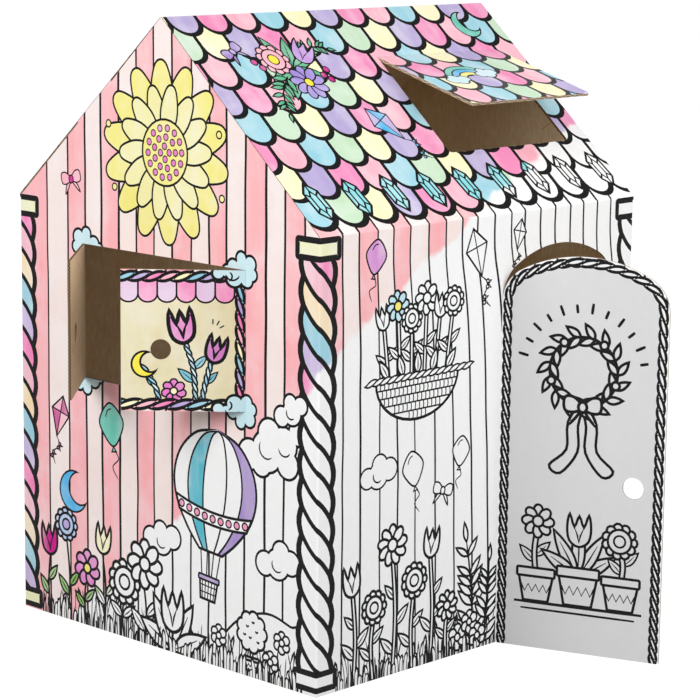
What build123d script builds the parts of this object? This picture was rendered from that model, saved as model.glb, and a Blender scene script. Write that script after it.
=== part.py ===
"""Cardboard playhouse: one folded corrugated board with four creased flaps.

Row frame: millimetres, +Z up, X along the ridge, the door wall faces -Y and
the window gable faces -X. The origin is on the floor, at the centre of the
four walls' footprint. The door, both shutters and the roof hatch are modelled
at the open angles of their rest pose, each turned about its own crease.
"""
from build123d import *
from math import atan2, cos, radians, sin
import os

os.makedirs("parts", exist_ok=True)

# Corrugated board
board = 5.0               # thickness of the board
fold_radius = 4.0         # outside rounding of a folded edge
bend_radius = 1.5         # inside rounding of a folded edge
cut_gap = 0.4             # space all round a flap, at its cut edges and at its crease

# Walls and roof
house_length = 900.0      # outside, along the ridge
house_depth = 840.0       # outside, across the gables
eave_height = 850.0       # floor to the fold between wall and roof
ridge_height = 1220.0     # floor to the ridge fold

# Window in the gable that faces -X, closed by two shutters
window_setback = 190.0    # from the front corner to the opening
window_width = 460.0
window_sill = 505.0       # floor to the opening
window_height = 265.0
shutter_hole = 38.0       # diameter of a shutter's finger hole
shutter_hole_inset = 74.0    # from the shutter's free edge to the hole's centre
shutter_hole_rise = 116.0    # from the sill to the hole's centre
right_shutter_angle = 43.0   # open angle at rest, on the right seen from outside
left_shutter_angle = 47.0    # open angle at rest, on the left seen from outside

# Door in the wall that faces -Y
door_setback = 500.0      # from the window gable's corner to the crease
door_width = 335.0
door_spring = 680.0       # floor to the start of the arch
door_rise = 98.0          # height of the arch
door_haunch = 75.0        # radius at the arch's two shoulders
door_foot = 2.0           # space between the door and the floor
door_hole = 42.0          # diameter of the door's finger hole
door_hole_inset = 62.0    # from the door's free edge to the hole's centre
door_hole_height = 340.0  # floor to the hole's centre
door_angle = 70.0         # open angle at rest

# Hatch in the front roof slope, creased along its upper edge
hatch_setback = 478.0     # from the window gable to the opening, along the ridge
hatch_width = 358.0
hatch_drop = 136.0        # from the ridge down the slope to the crease
hatch_reach = 261.0       # crease to free edge
hatch_corner = 8.0        # rounding of the two free corners
hatch_angle = 25.0        # open angle at rest

# Tuck tabs, which turn down from the roof's verges inside the gables
tab_drop = 190.0          # from the ridge down the slope to the tab
tab_width = 130.0
tab_depth = 70.0
tab_taper = 18.0          # how much each side of a tab narrows
tab_corner = 10.0         # rounding of a tab's free corners
slit_width = 3.0          # relief cut at each end of a tab
slit_length = 14.0        # relief cut, in from the verge
slit_nick = 2.0           # how far the relief cut runs on into the gable's edge

# Glued lap inside the rear right corner, which closes the loop of walls
lap_width = 45.0
lap_taper = 20.0          # how much each end of the lap narrows
lap_end_gap = 25.0        # from the lap's ends to the floor and the eave

# Worked out from the sizes above
gable_x = house_length / 2
wall_y = house_depth / 2
inner_x = gable_x - board
inner_y = wall_y - board
roof_rise = ridge_height - eave_height
pitch = atan2(roof_rise, wall_y)
tab_middle = tab_drop + tab_width / 2
cut_depth = 3 * board     # deep enough to pass the board
front = -1                # side of the ridge that holds the door and the hatch
rear = 1


def down_slope(side):
    """Direction down the roof slope on one side of the ridge."""
    return Vector(0, side * cos(pitch), -sin(pitch))


def slope_normal(side):
    """Direction out of the roof slope on one side of the ridge."""
    return Vector(0, side * sin(pitch), cos(pitch))


def slope_plane(side):
    """Roof slope with its origin at mid ridge and its y axis down the slope."""
    return Plane(origin=(0, 0, ridge_height), x_dir=(side, 0, 0), z_dir=slope_normal(side))


def flap_plane(crease, closed, outward, angle=0):
    """Plane of a flap that has swung out by angle about its crease.

    closed is the way from the crease to the free edge with the flap shut, and
    outward is the wall's outer normal. The plane's x axis runs from the crease
    to the free edge, and its y axis is the crease.
    """
    turn = radians(angle)
    along = Vector(closed) * cos(turn) + Vector(outward) * sin(turn)
    face = Vector(outward) * cos(turn) - Vector(closed) * sin(turn)
    return Plane(origin=crease, x_dir=along, z_dir=face)


# Outlines are drawn flat, each on its own x and y axes

# Gable, floor to ridge, on the house's centre line
with BuildSketch() as gable_outline:
    with BuildLine():
        Polyline(
            (-wall_y, 0),
            (wall_y, 0),
            (wall_y, eave_height),
            (0, ridge_height),
            (-wall_y, eave_height),
            close=True,
        )
    make_face()

# Door, crease on x = 0 and foot on y = 0. Its arch has three centres: a tight
# arc at each shoulder and one wide arc over the crown, tangent to both.
half_door = door_width / 2
crown_height = door_spring + door_rise
crown_top = half_door**2 + door_rise**2 - door_width * door_haunch
crown_radius = crown_top / (2 * (door_rise - door_haunch))
crown_lean = atan2(half_door - door_haunch, crown_radius - door_rise)
shoulder_x = half_door - crown_radius * sin(crown_lean)
shoulder_y = crown_height - crown_radius * (1 - cos(crown_lean))
with BuildSketch() as door_outline:
    with BuildLine():
        Polyline((0, door_spring), (0, 0), (door_width, 0), (door_width, door_spring))
        TangentArc((0, door_spring), (shoulder_x, shoulder_y), tangent=(0, 1))
        ThreePointArc(
            (shoulder_x, shoulder_y),
            (half_door, crown_height),
            (door_width - shoulder_x, shoulder_y),
        )
        TangentArc((door_width, door_spring), (door_width - shoulder_x, shoulder_y), tangent=(0, 1))
    make_face()

# One shutter, crease on x = 0, half of the window wide
with BuildSketch() as shutter_outline:
    with Locations((window_width / 4, 0)):
        Rectangle(window_width / 2, window_height)

# Hatch, crease on x = 0, with rounded free corners
with BuildSketch() as hatch_outline:
    with Locations((hatch_reach / 2, 0)):
        Rectangle(hatch_reach, hatch_width)
    fillet(hatch_outline.vertices().group_by(Axis.X)[-1], radius=hatch_corner)

# Tuck tab, hung along y from the middle of the roof board
with BuildSketch() as tab_outline:
    with BuildLine():
        Polyline(
            (-tab_width / 2, board / 2),
            (tab_width / 2, board / 2),
            (tab_width / 2, board),
            (tab_width / 2 - tab_taper, board + tab_depth),
            (tab_taper - tab_width / 2, board + tab_depth),
            (-tab_width / 2, board),
            close=True,
        )
    make_face()
    fillet(tab_outline.vertices().group_by(Axis.Y)[-1], radius=tab_corner)

# Creases, each on the board's outer face, with the way its shut flap lies
sill_middle = window_sill + window_height / 2
shutter_outward = (-1, 0, 0)
right_crease = (-gable_x, window_setback - wall_y, sill_middle)
right_closed = (0, 1, 0)
left_crease = (-gable_x, window_setback + window_width - wall_y, sill_middle)
left_closed = (0, -1, 0)
door_crease = (door_setback - gable_x, -wall_y, 0)
door_closed = (1, 0, 0)
door_outward = (0, -1, 0)
hatch_middle = hatch_setback + hatch_width / 2 - gable_x
hatch_closed = down_slope(front)
hatch_outward = slope_normal(front)
hatch_crease = Vector(hatch_middle, 0, ridge_height) + hatch_closed * hatch_drop

# House: walls, gables and both roof slopes, folded from one board
with BuildPart() as house:
    with BuildSketch(Plane.YZ.offset(-gable_x)) as outside:
        add(gable_outline.sketch)
        fillet(outside.vertices().group_by(Axis.Y)[1:], radius=fold_radius)
    extrude(amount=house_length)
    fillet(house.edges().filter_by(Axis.Z), radius=fold_radius)

    # Hollow, open at the floor
    with BuildSketch(Plane.YZ.offset(-inner_x)) as inside:
        add(gable_outline.sketch)
        offset(amount=-board, kind=Kind.INTERSECTION)
        fillet(inside.vertices().group_by(Axis.Y)[1:], radius=bend_radius)
        with Locations((0, board / 2)):
            Rectangle(2 * inner_y, 3 * board)
    extrude(amount=2 * inner_x, mode=Mode.SUBTRACT)

    # Door, window and hatch openings
    with BuildSketch(flap_plane(door_crease, door_closed, door_outward)):
        add(door_outline.sketch)
    extrude(amount=-cut_depth, mode=Mode.SUBTRACT)
    for crease, closed in ((right_crease, right_closed), (left_crease, left_closed)):
        with BuildSketch(flap_plane(crease, closed, shutter_outward)):
            add(shutter_outline.sketch)
        extrude(amount=-cut_depth, mode=Mode.SUBTRACT)
    with BuildSketch(flap_plane(hatch_crease, hatch_closed, hatch_outward)):
        add(hatch_outline.sketch)
    extrude(amount=-cut_depth, mode=Mode.SUBTRACT)

    # Relief cuts at the ends of the tuck tabs, on both slopes and both verges
    for side in (front, rear):
        with BuildSketch(slope_plane(side)):
            with Locations((0, tab_middle)):
                with GridLocations(house_length - slit_length, tab_width + slit_width, 2, 2):
                    Rectangle(slit_length, slit_width)
        extrude(amount=-(board + slit_nick), mode=Mode.SUBTRACT)

    # Tuck tabs behind the gables
    for side in (front, rear):
        tab_root = Vector(0, 0, ridge_height) + down_slope(side) * tab_middle
        for end in (-1, 1):
            tab_plane = Plane(
                origin=tab_root + Vector(end * inner_x, 0, 0),
                x_dir=down_slope(side),
                z_dir=(-side, 0, 0),
            )
            with BuildSketch(tab_plane):
                add(tab_outline.sketch)
            extrude(amount=end * side * board)

    # Glued lap on the rear wall's inner face
    with BuildSketch(Plane(origin=(inner_x, inner_y, 0), x_dir=(-1, 0, 0), z_dir=(0, 1, 0))):
        with BuildLine():
            Polyline(
                (0, lap_end_gap),
                (lap_width, lap_end_gap + lap_taper),
                (lap_width, eave_height - lap_end_gap - lap_taper),
                (0, eave_height - lap_end_gap),
                close=True,
            )
        make_face()
    extrude(amount=-board)

house.part.label = "house"
export_step(house.part, "parts/house.step")

# Door, arched, with a finger hole near its free edge
with BuildPart() as door:
    with BuildSketch(flap_plane(door_crease, door_closed, door_outward, door_angle)):
        add(door_outline.sketch)
        offset(amount=-cut_gap)
        with Locations((door_width / 2, door_foot / 2)):
            Rectangle(door_width, door_foot, mode=Mode.SUBTRACT)
        with Locations((door_width - door_hole_inset, door_hole_height)):
            Circle(door_hole / 2, mode=Mode.SUBTRACT)
    extrude(amount=-board)

door.part.label = "door"
export_step(door.part, "parts/door.step")


def cut_shutter(plane):
    """One shutter with its finger hole, on the plane of its outer face."""
    hole_y = (shutter_hole_rise - window_height / 2) * plane.y_dir.Z
    with BuildPart() as leaf:
        with BuildSketch(plane):
            add(shutter_outline.sketch)
            offset(amount=-cut_gap, kind=Kind.INTERSECTION)
            with Locations((window_width / 2 - shutter_hole_inset, hole_y)):
                Circle(shutter_hole / 2, mode=Mode.SUBTRACT)
        extrude(amount=-board)
    return leaf.part


# Shutters, named as seen from outside
right_shutter = cut_shutter(
    flap_plane(right_crease, right_closed, shutter_outward, right_shutter_angle)
)
right_shutter.label = "right_shutter"
export_step(right_shutter, "parts/right_shutter.step")

left_shutter = cut_shutter(
    flap_plane(left_crease, left_closed, shutter_outward, left_shutter_angle)
)
left_shutter.label = "left_shutter"
export_step(left_shutter, "parts/left_shutter.step")

# Roof hatch, raised from the front slope
with BuildPart() as roof_hatch:
    with BuildSketch(flap_plane(hatch_crease, hatch_closed, hatch_outward, hatch_angle)):
        add(hatch_outline.sketch)
        offset(amount=-cut_gap, kind=Kind.INTERSECTION)
    extrude(amount=-board)

roof_hatch.part.label = "roof_hatch"
export_step(roof_hatch.part, "parts/roof_hatch.step")
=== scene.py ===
import random
from math import acos, atan2, cos, degrees, hypot, pi, radians, sin, tan

import bmesh
import bpy
import numpy as np
from mathutils import Matrix, Vector
from mathutils.geometry import delaunay_2d_cdt


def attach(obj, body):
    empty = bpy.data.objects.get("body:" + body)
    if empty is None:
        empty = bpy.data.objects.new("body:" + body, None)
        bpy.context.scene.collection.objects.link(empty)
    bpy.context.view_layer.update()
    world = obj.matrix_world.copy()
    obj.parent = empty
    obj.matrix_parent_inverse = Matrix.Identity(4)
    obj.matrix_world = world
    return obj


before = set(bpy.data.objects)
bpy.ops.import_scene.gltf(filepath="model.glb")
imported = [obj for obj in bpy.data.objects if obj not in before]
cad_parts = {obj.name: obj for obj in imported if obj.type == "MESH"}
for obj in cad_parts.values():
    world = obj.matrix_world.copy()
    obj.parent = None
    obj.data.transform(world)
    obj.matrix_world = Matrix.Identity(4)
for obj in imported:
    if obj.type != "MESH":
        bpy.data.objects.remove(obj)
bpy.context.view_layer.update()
scene = bpy.context.scene
chance = random.Random(11)

# The folded board's own sizes, in millimetres
MM = 0.001
BOARD = 5.0
FOLD_RADIUS = 4.0
CUT_GAP = 0.4
LINER = 0.2               # how far a printed liner stands off the board
FLUTE = 7.6               # from one flute of the board to the next
LENGTH, DEPTH, EAVE, RIDGE = 900.0, 840.0, 850.0, 1220.0
WINDOW_SETBACK, WINDOW_WIDTH, WINDOW_SILL, WINDOW_HEIGHT = 190.0, 460.0, 505.0, 265.0
SHUTTER_HOLE, SHUTTER_HOLE_INSET, SHUTTER_HOLE_RISE = 38.0, 74.0, 116.0
RIGHT_SHUTTER_ANGLE, LEFT_SHUTTER_ANGLE = 43.0, 47.0
DOOR_SETBACK, DOOR_WIDTH, DOOR_SPRING, DOOR_RISE, DOOR_HAUNCH = 500.0, 335.0, 680.0, 98.0, 75.0
DOOR_FOOT, DOOR_HOLE, DOOR_HOLE_INSET, DOOR_HOLE_HEIGHT, DOOR_ANGLE = 2.0, 42.0, 62.0, 340.0, 70.0
HATCH_SETBACK, HATCH_WIDTH, HATCH_DROP, HATCH_REACH, HATCH_CORNER = 478.0, 358.0, 136.0, 261.0, 8.0
HATCH_ANGLE = 25.0
TAB_DROP, TAB_WIDTH = 190.0, 130.0

HALF_LENGTH = LENGTH / 2
HALF_DEPTH = DEPTH / 2
PITCH = atan2(RIDGE - EAVE, HALF_DEPTH)
SLOPE = hypot(RIDGE - EAVE, HALF_DEPTH)
WINDOW_LEFT = WINDOW_SETBACK + WINDOW_WIDTH - HALF_DEPTH
WINDOW_RIGHT = HALF_DEPTH - WINDOW_SETBACK
DOOR_LEFT = DOOR_SETBACK - HALF_LENGTH
HATCH_MIDDLE = HATCH_SETBACK + HATCH_WIDTH / 2 - HALF_LENGTH
BEND = FOLD_RADIUS + LINER            # radius of a liner round a fold
EAVE_TURN = pi / 2 - PITCH
RIDGE_TURN = 2 * PITCH
EAVE_SETBACK = FOLD_RADIUS * tan(EAVE_TURN / 2)
RIDGE_SETBACK = FOLD_RADIUS * tan(RIDGE_TURN / 2)


def added(name, data):
    thing = bpy.data.objects.new(name, data)
    scene.collection.objects.link(thing)
    return thing


def piece(name, mesh, finish):
    """An object of that name, mesh and finish."""
    data = bpy.data.meshes.new(name)
    mesh.to_mesh(data)
    mesh.free()
    data.materials.append(finish)
    return added(name, data)


def tone(code):
    """Linear red, green and blue of a six-digit sRGB code."""
    parts = [int(code[i:i + 2], 16) / 255 for i in (0, 2, 4)]
    return tuple(p / 12.92 if p <= 0.04045 else ((p + 0.055) / 1.055) ** 2.4 for p in parts)


# What a colour is put on with. Print stays as it is. Marker has streaks and leaves off at
# the edge of the coloured part. A touch is a single piece of marker beyond that edge.
PRINTED, MARKER, TOUCH = 0.0, 1.0, 2.0


def dye(code, kind=MARKER):
    """A paint of the print: its colour and what it is put on with."""
    return (*tone(code), kind)


INK = dye("0D0B0C", PRINTED)
BARE = dye("F7F7F7", PRINTED)
# The door's white print darkened to a light grey: painted shade.
DOOR_SHADE_GREY = dye("D6D6D7", PRINTED)
ROPE_GREY = dye("EAEAEB", PRINTED)
PINK = dye("FBB7BC")
PALE = dye("F7E7E3")
HOT_PINK = dye("F487BC")
ROSE = dye("FAB9C8")
AQUA = dye("94CBE0")
LILAC = dye("BCA9DA")
CREAM = dye("FBF3C6")
YELLOW = dye("F4EB8C")
BRIGHT_YELLOW = dye("F5E63C")
SHUTTER_CREAM = dye("E4DAB2")
VALANCE_PINK = dye("F29AC6")
VALANCE_LILAC = dye("E4C8E2")
BLOCK_CREAM = dye("F0EFC6")
SKY = dye("CDE9F0")
GEM = dye("8FD9E0")
TEAL = dye("54B9CB")
GREEN = dye("58B488")
LEAF_GREEN = dye("8CC061")
SEA_GREEN = dye("6CC7B4")
MAGENTA = dye("CC1F8E")
ORCHID = dye("E37FC8")
BLUE = dye("4FB4E6")
SKY_TOUCH = dye("BFE3EC", TOUCH)
YELLOW_TOUCH = dye("F5E66A", TOUCH)
TEAL_TOUCH = dye("54B9CB", TOUCH)
LILAC_TOUCH = dye("A98FCB", TOUCH)
ROSE_TOUCH = dye("F29AC0", TOUCH)

# Lilac, pink, rose, aqua, mint and cream tiles
TILE_PAINTS = (dye("B9ABD6"), dye("F291BE"), dye("F8B6C6"), dye("9DD2E0"), dye("C6E1C2"), CREAM)
# Rose, cream, blue, lilac and pink strands
COLUMN_PAINTS = (dye("F4BECD"), dye("F7E2BF"), dye("A2D1E0"), dye("CDBCE0"), HOT_PINK)
ROPE_PAINTS = (AQUA, LILAC, HOT_PINK, ROSE, CREAM)
STRIPES = (PINK, PALE)
BARE_PAINTS = (BARE,)


# Drawing: loops and paths are arrays of points in millimetres

def arc(turn, wide, tall, centre=(0, 0)):
    """Points of an ellipse at those turns, in radians."""
    return np.stack([centre[0] + wide * np.cos(turn), centre[1] + tall * np.sin(turn)], 1)


def ring(radius, steps, stretch=1.0, centre=(0, 0)):
    return arc(np.linspace(0, 2 * pi, steps, endpoint=False), radius, radius * stretch, centre)


def smooth(points, closed=False, steps=5):
    """A rounded path through the points."""
    p = np.asarray(points, float)
    n = len(p)
    out = []
    for i in range(n if closed else n - 1):
        if closed:
            a, b, c, d = p[(i - 1) % n], p[i], p[(i + 1) % n], p[(i + 2) % n]
        else:
            a, b, c, d = p[max(i - 1, 0)], p[i], p[i + 1], p[min(i + 2, n - 1)]
        for k in range(steps):
            t = k / steps
            out.append(0.5 * (2 * b + (c - a) * t + (2 * a - 5 * b + 4 * c - d) * t * t
                              + (3 * b - a - 3 * c + d) * t ** 3))
    if not closed:
        out.append(p[-1])
    return np.array(out)


def rounded(half, width, height, steps=3):
    """A closed loop through those points, scaled, and their mirror images on the left."""
    points = list(half) + [(-h, v) for h, v in half[::-1] if h]
    return smooth(np.array(points) * (width, height), True, steps)


def area(loop):
    h, v = loop[:, 0], loop[:, 1]
    return 0.5 * float(np.sum(h * np.roll(v, -1) - np.roll(h, -1) * v))


def grown(loop, distance):
    """The loop, anticlockwise, moved outwards by the distance."""
    loop = loop if area(loop) > 0 else loop[::-1]
    along = np.roll(loop, -1, 0) - loop
    along /= np.maximum(np.linalg.norm(along, axis=1, keepdims=True), 1e-9)
    out = np.stack([along[:, 1], -along[:, 0]], 1)
    both = out + np.roll(out, 1, 0)
    size = np.maximum(np.linalg.norm(both, axis=1, keepdims=True), 0.7)
    return loop + both / size * distance * np.minimum(2 / size, 2.2)


def ribbon(path, width, start=1.0, end=1.0, belly=0.0):
    """A line of that width along the path, with thinner ends and a thicker middle."""
    p = np.asarray(path, float)
    along = np.gradient(p, axis=0)
    along /= np.maximum(np.linalg.norm(along, axis=1, keepdims=True), 1e-9)
    side = np.stack([-along[:, 1], along[:, 0]], 1)
    t = np.linspace(0, 1, len(p))
    full = np.minimum(1, np.minimum(start + t * 6 * (1 - start), end + (1 - t) * 6 * (1 - end)))
    half = (width / 2 * full * (1 + belly * np.sin(pi * t)))[:, None]
    return np.concatenate([p + side * half, (p - side * half)[::-1]])


def slab(left, right, bottom, top, corner=0.0, at=("bl", "br", "tr", "tl")):
    """A rectangle with some of its corners rounded."""
    out = []
    for name, h, v, start in (("bl", left, bottom, 180), ("br", right, bottom, 270),
                              ("tr", right, top, 0), ("tl", left, top, 90)):
        if corner and name in at:
            ch = h + (corner if "l" in name else -corner)
            cv = v + (corner if "b" in name else -corner)
            for a in np.radians(np.linspace(start, start + 90, 6)):
                out.append((ch + corner * cos(a), cv + corner * sin(a)))
        else:
            out.append((h, v))
    return np.array(out)


class Stamp:
    """Draws in millimetres about a point of a print, turned. Later shapes cover earlier ones."""

    def __init__(self, shapes, h=0.0, v=0.0, turn=0.0, mirror=False):
        self.shapes = shapes
        c, s = cos(radians(turn)), sin(radians(turn))
        flip = -1 if mirror else 1
        self.matrix = np.array([[c * flip, s * flip], [-s, c]])
        self.shift = np.array([h, v], float)

    def at(self, points):
        return np.asarray(points, float) @ self.matrix + self.shift

    def stamp(self, h, v, turn=0.0, mirror=False):
        inner = Stamp(self.shapes, h, v, turn, mirror)
        inner.shift = self.at(inner.shift[None])[0]
        inner.matrix = inner.matrix @ self.matrix
        return inner

    def fill(self, loop, paint):
        self.shapes.append((self.at(loop), paint))

    def draw(self, loop, paint, line, lean=(0.0, 0.0)):
        """A filled shape with an ink outline, heavier on the side away from lean."""
        outline = self.at(loop)
        self.shapes.append((grown(outline, line / 2), INK))
        self.shapes.append((grown(outline, -line / 2) + np.array(lean) * line, paint))

    def dot(self, radius, steps, h, v, paint, line):
        self.draw(ring(radius, steps, 1, (h, v)), paint, line)

    def stroke(self, path, width, start=0.35, end=0.35, belly=0.0):
        self.shapes.append((ribbon(self.at(path), width, start, end, belly), INK))

    def bar(self, start, end, width, steps=4, blunt=1.0):
        self.stroke(np.linspace(start, end, steps), width, blunt, blunt)


def planks(sheet, lines, bottom, top, paints, width=5.2, bend=None):
    """Upright boards: fields of colour between hand-drawn lines, which may bend."""
    over, spacing, beyond = 4, 70, 500
    v = np.linspace(bottom - over, top + over, max(3, int((top - bottom) / spacing)))
    paths = []
    for h in lines:
        sway = np.array([chance.uniform(-1.1, 1.1) for _ in v])
        paths.append(smooth(np.stack([h + sway + (bend(h, v) if bend else 0.0), v], 1), steps=3))
    edges = [paths[0] * (0, 1) - (beyond, 0)] + paths + [paths[0] * (0, 1) + (beyond, 0)]
    for i in range(len(edges) - 1):
        sheet.fill(np.concatenate([edges[i], edges[i + 1][::-1]]), paints[i % len(paints)])
    for path in paths:
        sheet.stroke(path, width * chance.uniform(0.85, 1.15), 1.0, 1.0, chance.uniform(-0.15, 0.25))


# Lines between the planks, measured from the house's near corner along each wall
GABLE_LINES = (755, 692.5, 640.5, 593, 541, 490, 441.5, 390, 337, 288, 241.5, 191.5, 137, 88, 38)
FRONT_LINES = (58, 101, 148.6, 192.6, 236.5, 287.5, 335.5, 382, 423.6,
               474.9, 523.4, 563.9, 608.7, 654.8, 700, 741.7, 783.6, 827.7)
GABLE_PLANKS = [HALF_DEPTH - u for u in GABLE_LINES]
FRONT_PLANKS = [u - HALF_LENGTH for u in FRONT_LINES]


def front_bend(h, v):
    """The front's lines lean away from the near corner lower down, less so past the door."""
    share = 1.0 if h < DOOR_LEFT + DOOR_WIDTH / 2 else 0.35
    return share * (h + HALF_LENGTH) * np.interp(v, (0, 370, 660, 785), (0.13, 0.10, 0.054, 0.0))


TILE_WIDTH, TILE_DROP, TILE_FIRST = 75.0, 70.3, 52.0
TILE_LINE, LAST_TILE_LINE = 9.0, 10.6
LAST_TILE_WIDTH = TILE_WIDTH * 1.056
TILE_LEAN = (-0.26, 0.14)
# For each row from the ridge down: a tile's middle from the roof's edge, its place in the
# order of colours, and the tiles at which the row leaves a colour out
TILE_ROWS = ((47, 0, (4, 9)), (10, 4, ()), (49, 2, (8,)), (12, 0, ()),
             (34, 3, (7,)), (-2, 1, ()), (20, 5, ()), (34, 3, ()))


def tiles(sheet, shift_h=0.0, shift_v=0.0, paints=TILE_PAINTS):
    """Rows of round-ended tiles down the slope, each row over the one below."""
    for row in range(len(TILE_ROWS) - 1, -1, -1):
        last = row == len(TILE_ROWS) - 1
        start, first_paint, left_out = TILE_ROWS[row]
        pitch = LAST_TILE_WIDTH if last else TILE_WIDTH
        radius = pitch / 2
        rise = radius * 1.02
        tip = -(TILE_FIRST + row * TILE_DROP) + shift_v
        top = tip + TILE_DROP + radius
        for k in range(-1, 13):
            centre = start + k * pitch - HALF_LENGTH + shift_h
            curve = arc(np.linspace(-pi, 0, 13), radius, rise, (centre, tip + rise))
            loop = np.concatenate([[(centre - radius, top)], curve, [(centre + radius, top)]])
            skipped = sum(k >= tile for tile in left_out)
            paint = paints[(first_paint + k + skipped) % len(paints)]
            sheet.draw(loop, paint, LAST_TILE_LINE if last else TILE_LINE, TILE_LEAN)


GEM_PITCH, GEM_FIRST, GEM_HEIGHT = 101, -395, -479


def gems(sheet, turn, paint):
    """Long cut stones on the last row of tiles."""
    for k in range(9):
        gem(sheet.stamp(GEM_FIRST + GEM_PITCH * k, GEM_HEIGHT, turn), 38, 92, paint, 5.5)


def twist(stamp, path, half, pitch, paints, line, drop, bulge, first, last_pitch, limits=None, rim=0.0):
    """Strands wound along the path, each from one side of it over to the other.

    The pitch changes evenly from the path's start to its end. The limits are the
    lowest and the highest v that a strand reaches, and rim is how much heavier the
    line is along the two sides.
    """
    p = np.asarray(path, float)
    run = np.concatenate([[0], np.cumsum(np.linalg.norm(np.diff(p, axis=0), axis=1))])
    along = np.gradient(p, axis=0)
    along /= np.linalg.norm(along, axis=1, keepdims=True)
    side = np.stack([-along[:, 1], along[:, 0]], 1)

    def at(s, across):
        held = np.clip(s, 0, run[-1])
        middle, way, out = ([np.interp(held, run, table[:, i]) for i in (0, 1)] for table in (p, along, side))
        return np.stack([middle[i] + way[i] * (s - held) + out[i] * across for i in (0, 1)], 1)

    across = np.linspace(-1, 1, 9)
    lead = drop * (across * 0.5 - 0.05 * np.sin(pi * across))
    share = np.linspace(0, 1, 6)[1:-1]
    starts = [-abs(drop)]
    while starts[-1] < run[-1] + abs(drop):
        growth = min(1.0, max(0.0, starts[-1] / run[-1]))
        starts.append(starts[-1] + pitch + ((last_pitch or pitch) - pitch) * growth)
    for reach, half_way, paint_inside in ((line / 2, half, False), (-line / 2, half - rim, True)):
        swell = half_way + bulge * np.sin(pi * share)
        for k, (s, following) in enumerate(zip(starts, starts[1:])):
            step = following - s
            outline = [(s + lead, across * half_way), (s + lead[-1] + step * share, swell),
                       (following + lead[::-1], across[::-1] * half_way),
                       (s + lead[0] + step * share[::-1], -swell)]
            loop = grown(np.concatenate([at(a, b) for a, b in outline]), reach)
            if limits:
                loop[:, 1] = np.clip(loop[:, 1], *limits)
            stamp.fill(loop, paints[(k + first) % len(paints)] if paint_inside else INK)


COLUMN_SHIFT = -4.0       # the near column lies a little more on the gable than on the front
COLUMN_HALF, COLUMN_BULGE, COLUMN_RIM = 38.0, 7.0, 4.0
COLUMN_PITCH, COLUMN_DROP, COLUMN_LINE = 53.0, 72.0, 9.5
BLOCK_HALF, BLOCK_LINE, BLOCK_EDGE = 52, COLUMN_LINE + 2, 8
HEAD_HEIGHT, FOOT_HEIGHT = 49.0, 46.0


def column(sheet, middle, bottom, top, paints=COLUMN_PAINTS):
    """A twisted column with a block at its head and foot, wrapped round a corner."""
    low, high = bottom + FOOT_HEIGHT, top - HEAD_HEIGHT
    start = high + 25
    path = [(middle, start - k * (start - low) / 30) for k in range(31)]
    twist(sheet, path, COLUMN_HALF, COLUMN_PITCH, paints, COLUMN_LINE, COLUMN_DROP, COLUMN_BULGE,
          3, None, (low - 4, high + 4), COLUMN_RIM)
    left, right = middle - BLOCK_HALF, middle + BLOCK_HALF
    for foot, height in ((bottom, FOOT_HEIGHT), (high, HEAD_HEIGHT)):
        block = slab(left, right, foot + BLOCK_EDGE, foot + height - BLOCK_EDGE, 3)
        sheet.draw(block, BARE if paints is BARE_PAINTS else BLOCK_CREAM, BLOCK_LINE)


def rope(stamp, path, width, pitch, paints, line, lean=0.8, first=0, last_pitch=None):
    """A thin twisted rope of that full width. Its strands lean by that share of the pitch."""
    bulge = width * 0.13
    half = width / 2 - line / 2 - bulge
    twist(stamp, path, half, pitch, paints, line, pitch * lean, bulge, first, last_pitch)


CURL = 3.4                # width of the line that curls inside a cloud


def cloud(stamp, lobes, paint, line, curls=()):
    """Round lobes with one outline round them all."""
    for x, y, r in lobes:
        stamp.fill(ring(r + line / 2, 22, 1.0, (x, y)), INK)
    for x, y, r in lobes:
        stamp.fill(ring(r - line / 2, 22, 1.0, (x, y)), paint)
    for x, y, r, start, sweep in curls:
        turn = np.radians(np.linspace(start, start + sweep, 9))
        stamp.stroke(arc(turn, r, r, (x, y)), CURL)


PETAL = ((0, 0), (0.34, 0.28), (0.5, 0.62), (0.3, 0.92), (0, 1))
LEAF = ((0, 0), (0.42, 0.25), (0.5, 0.5), (0.3, 0.78), (0, 1))
TULIP = ((0, 0), (0.8, 0.18), (1, 0.6), (0.8, 1), (0.4, 0.62), (0, 0.95))
TULIP_FOLD = ((0.4, 0.6), (0.12, 0.35), (0, 0.12))
ENVELOPE = ((0, 1), (0.5, 0.87), (0.87, 0.5), (1, 0.05), (0.9, -0.4), (0.6, -0.82), (0.28, -1.12))
TOY_BALLOON = ((0, -0.5), (0.3, -0.22), (0.42, 0.15), (0, 0.55))
BOW_TAIL = ((0, 0), (0.22, -0.35), (0.5, -0.62), (0.36, -0.25), (0.1, 0))
BOW_LOOP = ((0, 0), (0.3, 0.32), (0.62, 0.3), (0.62, -0.12), (0.3, -0.18))
WREATH_TAIL = ((0, 0), (0.42, -0.5), (0.45, -1.25), (0.95, -1.75), (0.62, -1.95), (0.12, -1.3), (0.12, -0.55))


def leaf(stamp, length, width, paint, line, rib=True):
    """A pointed leaf from its stalk to its tip."""
    side = smooth(np.array(LEAF) * (width, length), False, 4)
    stamp.draw(np.concatenate([side, (side * (-1, 1))[::-1][1:-1]]), paint, line)
    if rib:
        stamp.stroke([(0, length * 0.08), (width * 0.03, length * 0.4), (0, length * 0.75)], line * 0.7)


def daisy(stamp, petals, inner, outer, paint, heart, line):
    width = 2 * pi * outer / petals * 0.78
    for k in range(petals):
        stamp.stamp(0, 0, 360 / petals * k).draw(rounded(PETAL, width, outer), paint, line)
    stamp.draw(ring(inner, 14), heart, line)


def tulip(stamp, height, paint, line):
    w = height * 0.38
    stamp.draw(rounded(TULIP, w, height), paint, line)
    for side in (-w, w):
        stamp.stroke(np.array(TULIP_FOLD) * (side, height), line * 0.7)


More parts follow.
